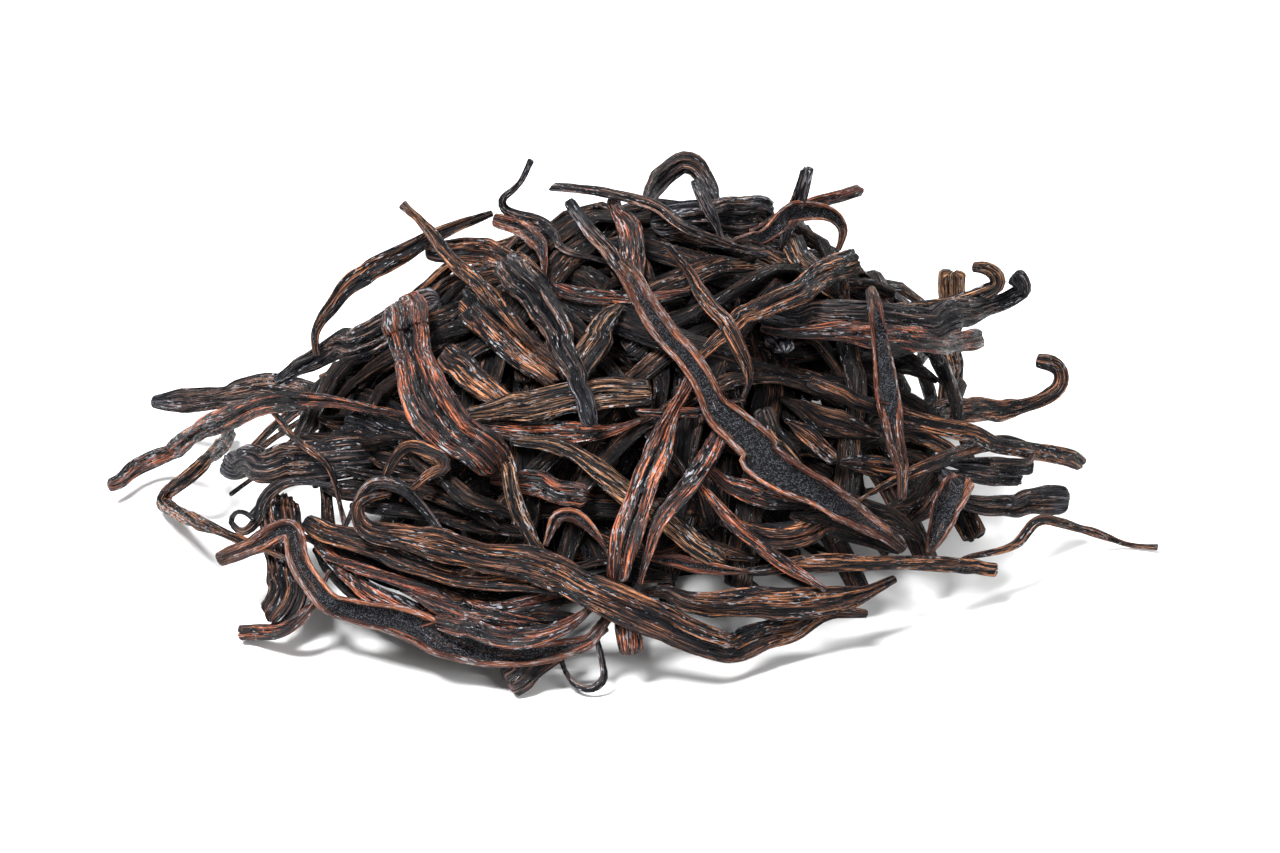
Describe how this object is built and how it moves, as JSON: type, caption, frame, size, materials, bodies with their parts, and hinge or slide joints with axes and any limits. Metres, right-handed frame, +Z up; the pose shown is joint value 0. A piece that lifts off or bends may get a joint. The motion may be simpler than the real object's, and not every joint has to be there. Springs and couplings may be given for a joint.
{
  "type": "bundle of vanilla pods",
  "caption": "Loose heap of dried vanilla pods, shrivelled, curled and partly split open, lying on its flat underside as a dry-goods pile.",
  "frame": {"origin": "middle of the heap's flat underside, on the surface it lies on", "axes": "+Z up, +X along the heap's longest side, -Y towards the viewer of the picture"},
  "size_m": [0.2641, 0.185, 0.0908],
  "materials": {
    "vanilla_skin": "oily, wrinkled dried pod skin, near-black in the furrows and orange-brown on the ridges"
  },
  "bodies": {
    "root": {"vanilla_pods": "vanilla_skin"}
  },
  "joints": []
}
